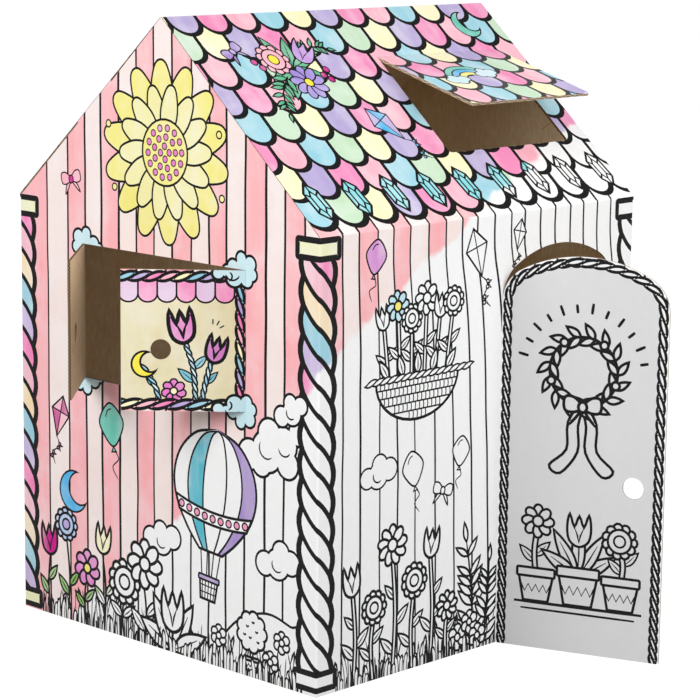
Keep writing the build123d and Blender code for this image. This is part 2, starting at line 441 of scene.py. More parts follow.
def pompom(stamp, radius, paint, heart, line):
    for k in range(11):
        a = 2 * pi * k / 11
        stamp.dot(radius * 0.27, 10, radius * 0.78 * cos(a), radius * 0.78 * sin(a), paint, line)
    stamp.draw(ring(radius * 0.7, 20), paint, line)
    stamp.draw(ring(radius * 0.34, 14), heart, line * 0.8)


def stalk(stamp, path, leaves, paint, line, width=0.0):
    """A stem, a single line or of that width, with leaves at shares of its length."""
    p = smooth(path)
    for share, turn, length, breadth in leaves:
        i = int(share * (len(p) - 1))
        leaf(stamp.stamp(p[i, 0], p[i, 1], turn), length, breadth, paint, line * 0.85)
    if width:
        stamp.draw(ribbon(p, width), paint, line)
    else:
        stamp.stroke(p, line, 0.8, 0.8)


def bloom(stamp, kind, size, paint, heart, line, petals, inner):
    """A flower's head. The last two are a daisy's petals and the share its heart takes up."""
    if kind is tulip:
        tulip(stamp, size, paint, line)
    elif kind is pompom:
        pompom(stamp, size, paint, heart, line)
    else:
        daisy(stamp, petals, size * inner, size, paint, heart, line)


def heading(path, before, after):
    """The turn, in degrees from upright, of the path between two of its points."""
    along = path[after] - path[before]
    return degrees(atan2(along[1], along[0])) - 90


def twig(stamp, path, pairs, length, breadth, paint, line):
    """A stem with pairs of leaves that shorten towards its tip, and a leaf at the tip."""
    p = smooth(path, False, 6)
    stamp.stroke(p, line, 0.9, 0.6)
    for k in range(pairs):
        share = 0.12 + 0.82 * k / pairs
        i = int(share * (len(p) - 1))
        lean = heading(p, max(i - 1, 0), min(i + 1, len(p) - 1))
        scale = 1 - 0.45 * share
        for spread in (48.0, -48.0):
            spot = stamp.stamp(p[i, 0], p[i, 1], lean + spread)
            leaf(spot, length * scale, breadth * scale, paint, line, False)
    leaf(stamp.stamp(p[-1, 0], p[-1, 1], heading(p, -3, -1)), length * 0.6, breadth * 0.6, paint, line, False)


def gem(stamp, width, height, paint, line):
    """A long cut stone with a smaller face inside it."""
    w, t = width / 2, height / 2
    outer = np.array([(0, -t), (w, -t * 0.52), (w, t * 0.52), (0, t), (-w, t * 0.52), (-w, -t * 0.52)])
    inner = outer * (0.42, 0.6)
    stamp.draw(outer, paint, line)
    stamp.draw(inner, paint, line * 0.75)
    for a, b in zip(outer, inner):
        stamp.bar(a, b, line * 0.75, 3)


def bow(stamp, size, paint, knot, line):
    for mirror in (True, False):
        half = stamp.stamp(0, 0, mirror=mirror)
        half.draw(smooth(np.array(BOW_TAIL) * size, True, 3), paint, line)
        half.draw(smooth(np.array(BOW_LOOP) * size, True, 4), paint, line)
    stamp.draw(ring(size * 0.15, 12, 1.2), knot, line)


def kite(stamp, size, paints, line):
    top, bottom, wing = size * 0.45, -size * 0.7, size * 0.36
    stamp.draw([(0, bottom), (wing, 0), (0, top), (-wing, 0)], paints[0], line)
    for corners in ([(0, bottom), (wing, 0), (0, 0)], [(0, 0), (0, top), (-wing, 0)]):
        stamp.fill(grown(np.array(corners), -line / 2), paints[1])
    for bone in ([(0, bottom), (0, 0), (0, top)], [(-wing, 0), (0, 0), (wing, 0)]):
        stamp.stroke(bone, line * 0.7, 1, 1)
    tail = smooth([(0, bottom), (size * 0.16, bottom - size * 0.25), (-size * 0.05, bottom - size * 0.5),
                   (size * 0.12, bottom - size * 0.8)])
    stamp.stroke(tail, line * 0.8)
    for i in (5, 11):
        bow(stamp.stamp(tail[i, 0], tail[i, 1], 70), size * 0.16, paints[0], paints[1], line * 0.8)


def balloon(stamp, size, paint, line):
    def scaled(points):
        return np.array(points) * size

    stamp.stroke(smooth(scaled([(0, -0.55), (0.14, -0.8), (-0.1, -1), (0.06, -1.3)])), line * 0.7)
    stamp.draw(rounded(TOY_BALLOON, size, size, 5), paint, line)
    stamp.draw(scaled([(-0.08, -0.63), (0.08, -0.63), (0, -0.5)]), paint, line * 0.8)
    stamp.stroke(smooth(scaled([(-0.2, 0.2), (-0.1, 0.36), (0.05, 0.41)])), line * 0.7)


def rays(stamp, radii, angles, width):
    """Short lines that point at the origin, each from an inner to an outer radius."""
    for a, (r0, r1) in zip(angles, radii):
        c, s = cos(radians(a)), sin(radians(a))
        stamp.bar((r0 * c, r0 * s), (r1 * c, r1 * s), width, 4, 0.8)


def grass(sheet, left, right, tall, gap, line):
    """Blades along the foot of a wall: most a single line, some an outlined blade."""
    h = left
    while h < right:
        height = tall * chance.uniform(0.4, 1.2)
        lean = chance.uniform(-0.22, 0.22) * height
        path = smooth([(h, -4), (h + lean * 0.15, height * 0.45), (h + lean, height)], False, 3)
        if chance.random() < 0.3:
            blade, inner = 10.0, 6.0
            sheet.fill(ribbon(path, blade, 1.0, 0.02), INK)
            sheet.fill(ribbon(path[:-1], inner, 1.0, 0.02), BARE)
        else:
            sheet.stroke(path, line * chance.uniform(0.8, 1.6), 1.0, 0.05)
        h += gap * chance.uniform(0.6, 1.5)


# Flat places of the board: where a print's h (right) and v (up) lie, seen from outside

class Place:
    """A face of the board.

    Beyond h_flat at both sides, and above v_flat, its liner bends round the fold, by
    h_turn or v_turn in all. From the height square_from up it stays flat at the sides.
    """

    def __init__(self, origin, right, up, h_flat=None, v_flat=None, h_turn=0.0, v_turn=0.0, square_from=None):
        self.origin = Vector(origin) * MM
        self.right = Vector(right)
        self.up = Vector(up)
        self.out = self.right.cross(self.up)
        self.h_flat = h_flat
        self.v_flat = v_flat
        self.h_turn = h_turn
        self.v_turn = v_turn
        self.square_from = square_from

    def bent(self, point, along, turn):
        """The point moved round a fold, from the flat part towards along and inwards."""
        return point + along * (BEND * sin(turn) * MM) - self.out * (BEND * (1 - cos(turn)) * MM)

    def fold_lines(self):
        """Shares of each bend at which the liner gets an edge, as h and v values."""
        h = v = ()
        if self.h_flat:
            h = [side * (self.h_flat + BEND * self.h_turn * k / 3) for side in (-1, 1) for k in range(3)]
        if self.v_flat is not None:
            v = [self.v_flat + BEND * self.v_turn * k / 3 for k in range(3)]
        if self.square_from:
            v = [self.square_from - 0.5, self.square_from]
        return h, v

    def __call__(self, h, v):
        point = self.origin + self.out * (LINER * MM)
        square = self.square_from and v >= self.square_from - 0.1
        if self.h_flat and abs(h) > self.h_flat and not square:
            side = 1 if h > 0 else -1
            point = self.bent(point, self.right * side, (abs(h) - self.h_flat) / BEND)
            h = side * self.h_flat
        if self.v_flat is not None and v > self.v_flat:
            point = self.bent(point, self.up, (v - self.v_flat) / BEND)
            v = self.v_flat
        return point + self.right * (h * MM) + self.up * (v * MM)


def inside(points, loop):
    """Which of the points lie in the loop."""
    a = loop[None, :, :]
    b = np.roll(loop, -1, 0)[None, :, :]
    p = points[:, None, :]
    edge, offset = b - a, p - a
    cross = edge[..., 0] * offset[..., 1] - offset[..., 0] * edge[..., 1]
    rising = (a[..., 1] <= p[..., 1]) & (b[..., 1] > p[..., 1]) & (cross > 0)
    falling = (a[..., 1] > p[..., 1]) & (b[..., 1] <= p[..., 1]) & (cross < 0)
    return (rising.sum(1) - falling.sum(1)) != 0


def print_liner(name, place, outline, openings, shapes, ground, body, finish):
    """A printed liner: the shapes cut into one flat mesh, its colours on its faces."""
    loops = [np.asarray(outline, float)] + [np.asarray(o, float) for o in openings]
    low, high = loops[0].min(0), loops[0].max(0)
    kept = [(s, p) for s, p in shapes if (s.max(0) > low).all() and (s.min(0) < high).all()]
    points, edges = [], []
    for loop in loops + [s for s, _ in kept]:
        first = len(points)
        points += [Vector((float(h), float(v))) for h, v in loop]
        n = len(loop)
        edges += [(first + i, first + (i + 1) % n) for i in range(n)]
    fold_h, fold_v = place.fold_lines()
    cuts = [((h, low[1] - 5), (h, high[1] + 5)) for h in fold_h]
    cuts += [((low[0] - 5, v), (high[0] + 5, v)) for v in fold_v]
    for ends in cuts:
        edges.append((len(points), len(points) + 1))
        points += [Vector(end) for end in ends]
    flat, _, facets, *_ = delaunay_2d_cdt(points, edges, [], 0, 1e-3, False)
    flat = np.array([(p.x, p.y) for p in flat])
    facets = np.array([f for f in facets if len(f) == 3])
    middle = flat[facets].mean(1)
    order = np.argsort(middle[:, 0])
    middle, facets = middle[order], facets[order]
    keep = inside(middle, loops[0])
    for loop in loops[1:]:
        keep &= ~inside(middle, loop)
    paint = np.tile(np.array(ground, float), (len(facets), 1))
    for loop, colour in kept:
        first, last = np.searchsorted(middle[:, 0], (loop[:, 0].min(), loop[:, 0].max()))
        near = np.arange(first, last)
        near = near[(middle[near, 1] > loop[:, 1].min()) & (middle[near, 1] < loop[:, 1].max())]
        if len(near):
            hit = near[inside(middle[near], loop)]
            paint[hit] = colour
    mesh = bmesh.new()
    colours = mesh.faces.layers.float_color.new("print")
    markers = mesh.faces.layers.float.new("marker")
    used = {}
    for facet, colour in zip(facets[keep], paint[keep]):
        corners = []
        for i in facet:
            if i not in used:
                used[i] = mesh.verts.new(place(*flat[i]))
            corners.append(used[i])
        face = mesh.faces.new(corners)
        face[colours] = (colour[0], colour[1], colour[2], 1.0)
        face[markers] = colour[3]
    liner = piece(name, mesh, finish)
    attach(liner, body)


# Finishes: shader maths as Python expressions

class Value:
    """A number in a finish. Arithmetic on it adds Math nodes."""

    def __init__(self, finish, socket):
        self.finish = finish
        self.socket = socket

    def maths(self, operation, *others):
        return self.finish.node("ShaderNodeMath", {"operation": operation}, *others)

    def __add__(self, other):
        return self.maths("ADD", self, other)

    def __radd__(self, other):
        return self.maths("ADD", other, self)

    def __sub__(self, other):
        return self.maths("SUBTRACT", self, other)

    def __rsub__(self, other):
        return self.maths("SUBTRACT", other, self)

    def __mul__(self, other):
        return self.maths("MULTIPLY", self, other)

    def __rmul__(self, other):
        return self.maths("MULTIPLY", other, self)

    def __truediv__(self, other):
        return self.maths("DIVIDE", self, other)

    def __rtruediv__(self, other):
        return self.maths("DIVIDE", other, self)

    def __abs__(self):
        return self.maths("ABSOLUTE", self)

    def sine(self):
        return self.maths("SINE", self)

    def least(self, other):
        return self.maths("MINIMUM", self, other)

    def most(self, other):
        return self.maths("MAXIMUM", self, other)


class Finish:
    """A material of this house, with one way to add any node."""

    def __init__(self, name):
        self.material = bpy.data.materials.new(name)
        self.material.use_nodes = True
        self.tree = self.material.node_tree
        self.shader = self.tree.nodes["Principled BSDF"]
        self.output = self.tree.nodes["Material Output"]

    def put(self, socket, value):
        if isinstance(value, Value):
            self.tree.links.new(value.socket, socket)
        elif socket.type == "RGBA" and len(value) == 3:
            socket.default_value = (*value, 1.0)
        else:
            socket.default_value = value

    def node(self, kind, settings=None, *values, out=0, **named):
        node = self.tree.nodes.new(kind)
        for key, setting in (settings or {}).items():
            setattr(node, key, setting)
        for i, value in enumerate(values):
            if value is not None:
                self.put(node.inputs[i], value)
        for key, value in named.items():
            self.put(node.inputs[key.replace("_", " ")], value)
        return Value(self, node.outputs[out])

    def point(self):
        return self.node("ShaderNodeTexCoord", out="Object")

    def axis(self, point, direction):
        """How far the point lies along a direction, in millimetres."""
        scaled = [1000 * d for d in direction]
        return self.node("ShaderNodeVectorMath", {"operation": "DOT_PRODUCT"}, point, scaled, out="Value")

    def ripple(self, point, direction):
        """A wave along a direction, one for each flute of the board."""
        return (self.axis(point, direction) * (2 * pi / FLUTE)).sine()

    def noise(self, point, scale, detail, rough, stretch=(1, 1, 1)):
        moved = self.node("ShaderNodeMapping", None, Vector=point, Scale=stretch)
        kind = "ShaderNodeTexNoise"
        return self.node(kind, None, Vector=moved, Scale=scale, Detail=detail, Roughness=rough)

    def step(self, value, low, high):
        """0 below low, 1 above high, smooth between."""
        smoothly = {"interpolation_type": "SMOOTHSTEP"}
        return self.node("ShaderNodeMapRange", smoothly, value, low, high, 0.0, 1.0)

    def mix(self, share, first, second, blend="MIX"):
        node = self.tree.nodes.new("ShaderNodeMix")
        node.data_type = "RGBA"
        node.blend_type = blend
        self.put(node.inputs[0], share)
        self.put(node.inputs[6], first)
        self.put(node.inputs[7], second)
        return Value(self, node.outputs[2])

    def set(self, socket, value):
        self.put(self.shader.inputs[socket], value)

    def bump(self, height, distance, strength):
        bumped = self.node("ShaderNodeBump", None, Strength=strength, Distance=distance, Height=height)
        self.put(self.shader.inputs["Normal"], bumped)


def printed_finish(name, along, across, edge=None):
    """White liner with line print and marker, which leaves off at edge(finish, point)."""
    f = Finish(name)
    point = f.point()
    colour = f.node("ShaderNodeAttribute", {"attribute_name": "print"}, out="Color")
    marker = f.node("ShaderNodeAttribute", {"attribute_name": "marker"}, out="Fac")
    stretch = [9.0 * abs(a) + 1.4 * abs(b) + 0.01 for a, b in zip(across, along)]
    streak = f.noise(point, 3.0, 4.0, 0.6, stretch)
    patch = f.noise(point, 14.0, 3.0, 0.55)
    wash = f.step(streak, 0.42, 0.66) * 0.45 + f.step(patch, 0.45, 0.68) * 0.55
    lighter = f.mix(wash * 0.38, colour, BARE[:3])
    dab = f.step(f.noise(point, 8.0, 3.0, 0.55), 0.50, 0.62) * 0.17
    darker = f.mix(f.step(streak, 0.58, 0.70) * 0.12 + dab, lighter, colour, "MULTIPLY")
    tinted = f.mix(marker.least(1.0), colour, darker)
    if edge:
        bare = edge(f, point) * marker.least(2.0 - marker)
        tinted = f.mix(bare, tinted, BARE[:3])
    mottle = f.noise(point, 55.0, 4.0, 0.6)
    paper = f.mix(f.step(mottle, 0.35, 0.8) * 0.05, tinted, tone("C9BFB2"), "MULTIPLY")
    f.set("Base Color", paper)
    f.set("Roughness", 0.62 + f.step(mottle, 0.3, 0.7) * 0.1)
    f.set("Specular IOR Level", 0.18)
    flute = f.ripple(point, across)
    f.bump(flute * 0.5 + mottle * 0.7, 0.00012, 0.35)
    return f.material


def marker_edge(line_points, side, ragged=26.0):
    """Where the colouring stops: a ragged line through two points, bare on one side.

    The points and the way to the bare side are given in the millimetres of space.
    """
    a, b = Vector(line_points[0]), Vector(line_points[1])
    along = (b - a).normalized()
    way = Vector(side)
    way = (way - along * way.dot(along)).normalized()

    def edge(f, point):
        beyond = f.axis(point, way) - a.dot(way)
        blots = f.noise(point, 9.0, 3.0, 0.6) - 0.5
        dabs = f.noise(point, 30.0, 2.0, 0.5, (1, 1, 0.35)) - 0.5
        return f.step(beyond + blots * (ragged * 3.2) + dabs * ragged * 1.4, -7.0, 7.0)

    return edge


def board_finish(name, places, gap, paper):
    """Brown board behind those places: plain inside faces, and flutes on every cut edge, with painted shade
    in the gaps between the flutes.
    """
    f = Finish(name)
    point = f.point()
    cut = None
    wave = None
    for place in places:
        normal = place.out.normalized()
        depth = ((place.origin / MM).dot(normal) - f.axis(point, normal)) / BOARD
        within = f.step(depth, 0.01, 0.03) * (1 - f.step(depth, 0.97, 0.99))
        run = Vector((0, 0, 1)) + normal.cross(Vector((0, 0, 1)))
        run = run - normal * run.dot(normal)
        ripple = f.ripple(point, run)
        line = 1 - f.step(abs(depth - 0.5 - ripple * 0.36), 0.07, 0.16)
        liner = 1 - f.step(depth.least(1 - depth), 0.06, 0.12)
        lit = line.most(liner) * within
        cut = within if cut is None else cut.most(within)
        wave = lit if wave is None else wave.most(lit)
    fibre = f.noise(point, 160.0, 4.0, 0.65, (1, 1, 0.3))
    cloudy = f.noise(point, 6.0, 3.0, 0.5)
    kraft = f.mix(f.step(fibre, 0.35, 0.7), tone("E6CDA8"), tone("F6E4C6"))
    kraft = f.mix(f.step(cloudy, 0.3, 0.7) * 0.5, kraft, tone("EDD3B0"))
    # Between the flute paper the cut edge takes the gap colour: painted shade in the open flutes.
    edge = f.mix(wave, tone(gap), tone(paper))
    f.set("Base Color", f.mix(cut, kraft, edge))
    f.set("Roughness", 0.85)
    f.set("Specular IOR Level", 0.2)
    f.bump(fibre * 0.4 + wave * cut, 0.0004, 0.5)
    return f.material


# Places of the liners

cp, sp = cos(PITCH), sin(PITCH)
QUARTER = BEND * pi / 2
ROOF_END = EAVE - BOARD / cp          # height of the roof board's lower face at the wall
WALL_TURN, EAVE_FLAT = pi / 2, EAVE - EAVE_SETBACK
GABLE_FLAT = HALF_DEPTH - FOLD_RADIUS
GABLE = Place((-HALF_LENGTH, 0, 0), (0, -1, 0), (0, 0, 1), GABLE_FLAT, None, WALL_TURN, 0.0, ROOF_END)
FAR_GABLE = Place((HALF_LENGTH, 0, 0), (0, 1, 0), (0, 0, 1), GABLE_FLAT, None, WALL_TURN, 0.0, ROOF_END)
FRONT = Place((0, -HALF_DEPTH, 0), (1, 0, 0), (0, 0, 1), None, EAVE_FLAT, 0.0, EAVE_TURN)
REAR = Place((0, HALF_DEPTH, 0), (-1, 0, 0), (0, 0, 1), None, EAVE_FLAT, 0.0, EAVE_TURN)
FRONT_SLOPE = Place((0, 0, RIDGE), (1, 0, 0), (0, cp, sp), None, -RIDGE_SETBACK, 0.0, RIDGE_TURN)
REAR_SLOPE = Place((0, 0, RIDGE), (-1, 0, 0), (0, -cp, sp))


def opened(angle):
    """Cosine and sine of the angle, in degrees, at which a flap stands open."""
    return cos(radians(angle)), sin(radians(angle))


ca, sa = opened(DOOR_ANGLE)
DOOR = Place((DOOR_LEFT, -HALF_DEPTH, 0), (ca, -sa, 0), (0, 0, 1))
ca, sa = opened(RIGHT_SHUTTER_ANGLE)
RIGHT_SHUTTER = Place((-HALF_LENGTH, -WINDOW_RIGHT, WINDOW_SILL), (sa, -ca, 0), (0, 0, 1))
ca, sa = opened(LEFT_SHUTTER_ANGLE)
LEFT_SHUTTER = Place((-HALF_LENGTH, WINDOW_LEFT, WINDOW_SILL), (-sa, -ca, 0), (0, 0, 1))
ca, sa = opened(HATCH_ANGLE)
hatch_along = Vector((0, -cp, -sp)) * ca + Vector((0, -sp, cp)) * sa
HATCH = Place((HATCH_MIDDLE, -HATCH_DROP * cp, RIDGE - HATCH_DROP * sp), (1, 0, 0), -hatch_along)


def arch(inset=0.0):
    """The door's outline from its crease foot round to the crease again."""
    half = DOOR_WIDTH / 2
    top = DOOR_SPRING + DOOR_RISE
    crown = (half ** 2 + DOOR_RISE ** 2 - DOOR_WIDTH * DOOR_HAUNCH) / (2 * (DOOR_RISE - DOOR_HAUNCH))
    lean = atan2(half - DOOR_HAUNCH, crown - DOOR_RISE)
    haunch = arc(np.linspace(0, pi / 2 - lean, 10), DOOR_HAUNCH - inset, DOOR_HAUNCH - inset,
                 (DOOR_WIDTH - DOOR_HAUNCH, DOOR_SPRING))
    over = arc(pi / 2 - np.linspace(lean, 0, 10)[1:], crown - inset, crown - inset, (half, top - crown))
    right = np.concatenate([haunch, over])
    return np.concatenate([right, ((DOOR_WIDTH, 0) + right * (-1, 1))[::-1][1:]])


def wall_outline():
    """A long wall's print, which widens to the square ends of the roof board at its top."""
    flat, full, top = HALF_LENGTH - FOLD_RADIUS, HALF_LENGTH - 0.1, EAVE_FLAT + BEND * EAVE_TURN
    half = [(flat, 0.3), (flat, ROOF_END), (full, ROOF_END + 0.2), (full, top)]
    return np.array(half + [(-h, v) for h, v in half[::-1]])


def gable_outline():
    """The gable's print: up to the top of the front slope's board, and under the rear's.

    Where a tab is tucked in, it reaches the rear slope's top as well.
    """
    drop = tan(PITCH)
    corner = GABLE_FLAT
    tab = (TAB_DROP * cp, (TAB_DROP + TAB_WIDTH) * cp)
    under, flush = BOARD * 0.8 / cp, 1.0
    right = [(corner + QUARTER, 0.3), (corner + QUARTER, ROOF_END - 0.5), (HALF_DEPTH - 0.2, ROOF_END),
             (HALF_DEPTH - 0.2, EAVE - 2.5), (HALF_DEPTH - 2.5, EAVE + 0.8)]
    left = []
    for h, lower in ((corner, under), (tab[1], under), (tab[1], flush), (tab[0], flush), (tab[0], under)):
        left.append((-h, RIDGE - drop * h - lower))
    left = [(-corner - QUARTER, 0.3), (-corner - QUARTER, ROOF_END - 2)] + left
    return np.array(right + [(0, RIDGE - flush)] + left[::-1])


def moon(stamp, radius, paint, line):
    for reach, paint_inside in ((line / 2, False), (-line / 2, True)):
        outer, bite, away = radius + reach, radius * 0.8 - reach, radius * 0.5
        tip = acos((outer ** 2 + away ** 2 - bite ** 2) / (2 * outer * away))
        tip_x, tip_y = outer * cos(tip), outer * sin(tip)
        back = np.linspace(tip, 2 * pi - tip, 20)
        front = atan2(tip_y, tip_x - away)
        hollow = np.linspace(2 * pi - front, front, 16)[1:-1]
        crescent = np.concatenate([arc(back, outer, outer), arc(hollow, bite, bite, (away, 0))])
        stamp.fill(crescent, paint if paint_inside else INK)


def dahlia(stamp, radius, outer, inner, heart, seed, line):
    """A big round flower of two rings of petals about a disc of seeds."""
    for paint, reach, count, turn in ((outer, 1.0, 14, 0), (inner, 0.74, 14, 13)):
        for k in range(count):
            petal = rounded(PETAL, radius * 0.36 * reach, radius * reach, 4)
            stamp.stamp(0, 0, 360 / count * k + turn).draw(petal, paint, line)
    stamp.draw(ring(radius * 0.36, 30), heart, line)
    for reach, count in ((0.27, 14), (0.17, 9), (0.07, 4)):
        for k in range(count):
            a = 2 * pi * k / count
            stamp.dot(radius * 0.038, 8, radius * reach * cos(a), radius * reach * sin(a), seed, line * 0.5)


def air_balloon(stamp, radius, gores, band, basket, line):
    """A striped balloon with ropes and a woven basket, its envelope's middle at the origin."""
    r = radius
    rope_foot, rim = -r * 1.62, -r * 1.12
    for side in (-1, -0.33, 0.33, 1):
        stamp.stroke([(side * r * 0.24, rim), (side * r * 0.17, rope_foot)], line * 0.6, 1, 1)
    full = smooth(np.array(ENVELOPE) * r)
    outline = np.concatenate([full, (full * (-1, 1))[::-1][:-1]])[::-1]
    stamp.draw(outline, gores[0], line * 1.25)
    shares = (-1.0, -0.66, -0.28, 0.28, 0.66, 1.0)
    for i in range(5):
        left, right = full * (shares[i], 1), full * (shares[i + 1], 1)
        stamp.fill(grown(np.concatenate([left, right[::-1]])[::-1], -line * 0.4), gores[i % len(gores)])
    for share in shares[1:-1]:
        stamp.stroke(full * (share, 1), line * 0.8, 0.6, 1)

    def sagging(share, height):
        return (height - 0.13 * (1 - share ** 2)) * r

    upper = [(x * r, sagging(x, -0.30)) for x in np.linspace(-0.93, 0.93, 15)]
    lower = [(x * r, sagging(x, -0.52)) for x in np.linspace(0.83, -0.83, 15)]
    stamp.draw(np.array(upper + lower)[::-1], band[0], line)
    for k in range(9):
        x = -0.78 + k * 0.195
        stamp.dot(r * 0.065, 12, x * r, sagging(x, -0.41), band[1], line * 0.6)
    w, sole = r * 0.22, rope_foot - r * 0.36
    stamp.draw([(-w, rope_foot), (-w * 0.8, sole), (w * 0.8, sole), (w, rope_foot)], basket[0], line)
    for k in (1, 2):
        y = rope_foot - r * 0.12 * k
        stamp.bar((-w * 0.93, y), (w * 0.93, y), line * 0.5)
    for k in range(-2, 3):
        stamp.bar((k * w * 0.36, rope_foot), (k * w * 0.3, sole), line * 0.5)
    rim_band = slab(-w * 1.15, w * 1.15, rope_foot - r * 0.03, rope_foot + r * 0.06, 3)
    stamp.draw(rim_band, basket[1], line * 0.8)


def flower_pot(stamp, width, height, paint, line):
    w = width / 2
    stamp.draw([(-w * 0.72, 0), (w * 0.72, 0), (w, height * 0.78), (-w, height * 0.78)], paint, line)
    zig = [(-w * 0.86 + i * w * 0.215, height * (0.28 if i % 2 else 0.5)) for i in range(9)]
    stamp.stroke(zig, line * 0.7, 1, 1)
    stamp.draw(slab(-w * 1.1, w * 1.1, height * 0.74, height, 3), paint, line)


def bush(stamp, radius, paint, line):
    """A clipped round bush on a short trunk in a pot."""
    stamp.draw(slab(-radius * 0.09, radius * 0.09, radius * 0.5, radius * 1.3), paint, line * 0.8)
    flower_pot(stamp, radius * 0.95, radius * 0.7, paint, line)
    crown = stamp.stamp(0, radius * 2.0)
    lobes = [(h, v, radius * 0.36) for h, v in ring(radius * 0.72, 9)]
    cloud(crown, lobes + [(0, 0, radius * 0.72)], paint, line)
    for x, y in ((-0.3, 0.3), (0.35, 0.1), (-0.1, -0.25), (0.1, 0.55), (-0.5, -0.15), (0.45, -0.4)):
        tuft = np.array([(x - 0.1, y), (x, y - 0.08), (x + 0.1, y)]) * radius
        crown.stroke(smooth(tuft), line * 0.7)


def basket_of_flowers(stamp, width, line):
    """A half-round basket with a woven front, flowers above its rim."""
    w = width / 2
    for h, v, kind, size, paint, heart, low in (
            (-0.82, 0.86, tulip, 46, BARE, BARE, -0.7),
            (-0.5, 1.22, daisy, 30, SKY_TOUCH, YELLOW_TOUCH, -0.42),
            (-0.16, 0.98, pompom, 27, BARE, BARE, -0.15),
            (0.2, 1.28, daisy, 32, BARE, BARE, 0.16),
            (0.52, 0.92, tulip, 48, BARE, BARE, 0.42),
            (0.86, 1.16, pompom, 28, BARE, BARE, 0.7)):
        stalk(stamp, [(low * w, 0), ((low + h) / 2 * w, v * w * 0.5), (h * w, v * w)],
              ((0.3, 50, 40, 15), (0.42, -50, 38, 14)), BARE, line, 8.0)
        bloom(stamp.stamp(h * w, v * w, -h * 14), kind, size, paint, heart, line, 8, 0.34)
    for x in (-0.7, -0.35, 0.0, 0.34, 0.7):
        leaf(stamp.stamp(x * w, 4, -x * 50), 44, 18, BARE, line)
    stamp.draw(arc(np.linspace(pi, 2 * pi, 19), w, w * 0.72), BARE, line * 1.3)

    def reach_at(y):
        return w * max(0.0, 1 - (y / (w * 0.72)) ** 2) ** 0.5

    for k in range(1, 5):
        y = -w * 0.14 * k
        stamp.bar((-reach_at(y), y), (reach_at(y), y), line * 0.7, 8)
    for row in range(5):
        top, low = -w * 0.14 * row, -w * 0.14 * (row + 1)
        reach = reach_at(low)
        count = int(reach / (w * 0.1))
        for k in range(-count, count + 1):
            x = (k + 0.5 * (row % 2)) * w * 0.1
            if abs(x) < reach:
                stamp.stroke([(x, top), (x + 1, (top + low) / 2), (x, low)], line * 0.6, 1, 1)
    rope(stamp, np.linspace((-w * 1.06, 2), (w * 1.06, 2), 12), 17, 19, BARE_PAINTS, line * 0.8)


def wreath(stamp, radius, line, paint):
    """A ring of leaves with a bow and two long tails below it."""
    for mirror in (True, False):
        tail = stamp.stamp(0, -radius, mirror=mirror)
        tail.draw(smooth(np.array(WREATH_TAIL) * radius, True, 4), paint, line)
    stamp.stroke(np.concatenate([ring(radius, 26), ring(radius, 26)[:1]]), line * 1.2, 1, 1)
    for k in range(15):
        a = 24 * k
        spot = stamp.stamp(radius * cos(radians(a)), radius * sin(radians(a)))
        for spread in (-38, 38):
            leaf(spot.stamp(0, 0, a + spread), radius * 0.5, radius * 0.2, paint, line, False)
    for k in range(5):
        a = radians(126 + 72 * k)
        stamp.dot(radius * 0.12, 10, radius * cos(a), radius * sin(a), paint, line)
    bow(stamp.stamp(0, -radius), radius * 0.85, paint, paint, line * 1.1)


# Prints

CORNER_LOBES = ((-8, 4, 21), (11, 12, 16), (-12, 20, 14), (17, -7, 13), (-34, 2, 16), (-50, -6, 12),
                (-20, -16, 16), (4, -18, 15))


def corner_cloud(stamp, up, curls=()):
    """A cloud over a corner of the window, part on the wall and part on a shutter."""
    cloud(stamp, [(x, y * up, r) for x, y, r in CORNER_LOBES], SKY, 5.2, curls)


def corner_clouds(sheet, left, right, low, high):
    for h, mirror in ((right, False), (left, True)):
        for v, up in ((high, 1), (low, -1)):
            corner_cloud(sheet.stamp(h, v, mirror=mirror), up)


